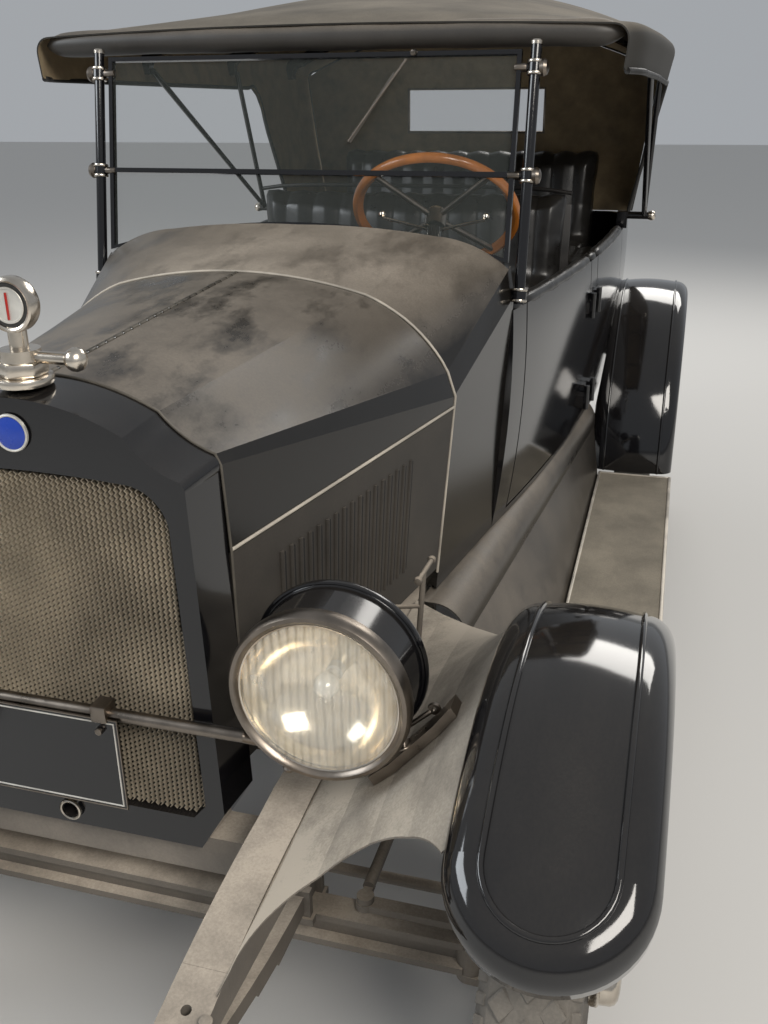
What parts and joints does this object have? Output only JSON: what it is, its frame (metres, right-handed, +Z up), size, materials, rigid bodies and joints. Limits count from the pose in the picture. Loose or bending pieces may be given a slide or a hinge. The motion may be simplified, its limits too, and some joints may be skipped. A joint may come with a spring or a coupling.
{
  "type": "vintage touring car",
  "caption": "Open touring car of the nineteen twenties with a folding top, honeycomb radiator, drum headlamps, wooden wheels, opening doors and hood, and working steering.",
  "frame": {"origin": "on the ground, midway along and across the car", "axes": "+X to the car's left, +Y towards its rear, +Z up"},
  "size_m": [1.68, 3.6174, 1.815],
  "materials": {
    "black_paint": "gloss",
    "chassis_paint": "matt",
    "nickel": "polished",
    "core_metal": "dull",
    "rubber": "matt",
    "wood_black": "painted",
    "varnished_wood": "varnished",
    "floor_wood": "worn",
    "leather": "worn",
    "top_cloth": "matt",
    "clear_glass": "clear",
    "lens_glass": "fluted",
    "board_mat": "dusty",
    "rusty_steel": "rusty"
  },
  "bodies": {
    "root": {"chassis_frame": "chassis_paint", "cross_members": "chassis_paint", "front_axle": "chassis_paint", "rear_axle": "chassis_paint", "leaf_springs": "chassis_paint", "engine": "rusty_steel", "exhaust": "rusty_steel", "fuel_tank": "chassis_paint", "steering_column": "black_paint", "gear_lever": "black_paint", "radiator_shell": "black_paint", "hood_hinge": "black_paint", "radiator_core": "core_metal", "radiator_cap": "nickel", "cowl": "black_paint", "body_tub": "black_paint", "floor_boards": "floor_wood", "windscreen_frame": "black_paint", "windscreen_glass": "clear_glass", "top_canopy": "top_cloth", "top_bows": "black_paint", "seat_boxes": "floor_wood", "seat_cushions": "leather", "seat_backs": "leather", "front_fenders": "black_paint", "fender_aprons": "black_paint", "rear_fenders": "black_paint", "running_boards": "board_mat", "splash_aprons": "black_paint", "headlamps": "black_paint", "headlamp_lenses": "lens_glass", "lamp_bar": "black_paint", "licence_plate": "black_paint", "tail_lamp": "black_paint", "spare_carrier": "chassis_paint", "spare_tyre": "rubber", "spare_rim": "chassis_paint"},
    "tie_rod": {"tie_rod": "chassis_paint"},
    "drag_link": {"drag_link": "chassis_paint"},
    "pitman_arm": {"pitman_arm": "chassis_paint"},
    "steering_wheel": {"steering_wheel": "varnished_wood", "steering_spider": "black_paint"},
    "wheel_front_left": {"wheel_front_left": "wood_black", "tyre_front_left": "rubber"},
    "wheel_front_right": {"wheel_front_right": "wood_black", "tyre_front_right": "rubber"},
    "wheel_rear_left": {"wheel_rear_left": "wood_black", "tyre_rear_left": "rubber"},
    "wheel_rear_right": {"wheel_rear_right": "wood_black", "tyre_rear_right": "rubber"},
    "hood_top_left": {"hood_top_left": "black_paint"},
    "hood_side_left": {"hood_side_left": "black_paint"},
    "knuckle_left": {"knuckle_left": "chassis_paint"},
    "door_front_left": {"door_front_left": "black_paint"},
    "door_rear_left": {"door_rear_left": "black_paint"},
    "hood_top_right": {"hood_top_right": "black_paint"},
    "hood_side_right": {"hood_side_right": "black_paint"},
    "knuckle_right": {"knuckle_right": "chassis_paint"},
    "door_front_right": {"door_front_right": "black_paint"},
    "door_rear_right": {"door_rear_right": "black_paint"}
  },
  "joints": [
    {"name": "steer_left", "type": "hinge", "parent": "root", "child": "knuckle_left", "pos_m": [0.6, -1.37, 0.368], "axis": [0, 0, 1], "range_deg": [-28, 28]},
    {"name": "steer_right", "type": "hinge", "parent": "root", "child": "knuckle_right", "pos_m": [-0.6, -1.37, 0.368], "axis": [0, 0, 1], "range_deg": [-28, 28]},
    {"name": "tie_rod_swing", "type": "hinge", "parent": "knuckle_left", "child": "tie_rod", "pos_m": [0.6, -1.235, 0.33], "axis": [0, 0, 1], "range_deg": [-28, 28]},
    {"name": "drag_link_swing", "type": "hinge", "parent": "knuckle_left", "child": "drag_link", "pos_m": [0.44, -1.37, 0.422], "axis": [0, 0, 1], "range_deg": [-28, 28]},
    {"name": "pitman_swing", "type": "hinge", "parent": "root", "child": "pitman_arm", "pos_m": [0.374, -0.67, 0.561], "axis": [-1, 0, 0], "range_deg": [-35.8, 35.8]},
    {"name": "steering_wheel_turn", "type": "hinge", "parent": "root", "child": "steering_wheel", "pos_m": [0.215, 0.01, 1.25], "axis": [-0.0721, 0.7006, 0.7099], "range_deg": [-337, 337]},
    {"name": "roll_front_left", "type": "hinge", "parent": "knuckle_left", "child": "wheel_front_left", "pos_m": [0.7125, -1.37, 0.368], "axis": [1, 0, 0], "continuous": true},
    {"name": "roll_front_right", "type": "hinge", "parent": "knuckle_right", "child": "wheel_front_right", "pos_m": [-0.7125, -1.37, 0.368], "axis": [1, 0, 0], "continuous": true},
    {"name": "roll_rear_left", "type": "hinge", "parent": "root", "child": "wheel_rear_left", "pos_m": [0.7125, 1.22, 0.368], "axis": [1, 0, 0], "continuous": true},
    {"name": "roll_rear_right", "type": "hinge", "parent": "root", "child": "wheel_rear_right", "pos_m": [-0.7125, 1.22, 0.368], "axis": [1, 0, 0], "continuous": true},
    {"name": "door_front_left_swing", "type": "hinge", "parent": "root", "child": "door_front_left", "pos_m": [0.58237, 0.335, 0.72], "axis": [0, 0, 1], "range_deg": [0, 70]},
    {"name": "door_rear_left_swing", "type": "hinge", "parent": "root", "child": "door_rear_left", "pos_m": [0.59064, 0.425, 0.72], "axis": [0, 0, -1], "range_deg": [0, 70]},
    {"name": "door_front_right_swing", "type": "hinge", "parent": "root", "child": "door_front_right", "pos_m": [-0.58237, 0.335, 0.72], "axis": [0, 0, -1], "range_deg": [0, 70]},
    {"name": "door_rear_right_swing", "type": "hinge", "parent": "root", "child": "door_rear_right", "pos_m": [-0.59064, 0.425, 0.72], "axis": [0, 0, 1], "range_deg": [0, 70]},
    {"name": "hood_top_left_lift", "type": "hinge", "parent": "root", "child": "hood_top_left", "pos_m": [0, -1.336, 1.1825], "axis": [0, -0.9987, -0.0511], "range_deg": [0, 65]},
    {"name": "hood_side_left_fold", "type": "hinge", "parent": "hood_top_left", "child": "hood_side_left", "pos_m": [0.2465, -1.336, 0.953], "axis": [0.2632, 0.9636, 0.0462], "range_deg": [0, 65.5]},
    {"name": "hood_top_right_lift", "type": "hinge", "parent": "root", "child": "hood_top_right", "pos_m": [0, -1.336, 1.1825], "axis": [0, 0.9987, 0.0511], "range_deg": [0, 65]},
    {"name": "hood_side_right_fold", "type": "hinge", "parent": "hood_top_right", "child": "hood_side_right", "pos_m": [-0.2465, -1.336, 0.953], "axis": [0.2632, -0.9636, -0.0462], "range_deg": [0, 65.5]}
  ],
  "couplings": [
    {"joint": "steer_right", "follows": "steer_left", "ratio": 1},
    {"joint": "tie_rod_swing", "follows": "steer_left", "ratio": -1},
    {"joint": "drag_link_swing", "follows": "steer_left", "ratio": -1},
    {"joint": "pitman_swing", "follows": "steer_left", "ratio": 1.2606},
    {"joint": "steering_wheel_turn", "follows": "steer_left", "ratio": 12},
    {"joint": "hood_side_left_fold", "follows": "hood_top_left_lift", "ratio": 1},
    {"joint": "hood_side_right_fold", "follows": "hood_top_right_lift", "ratio": 1}
  ]
}
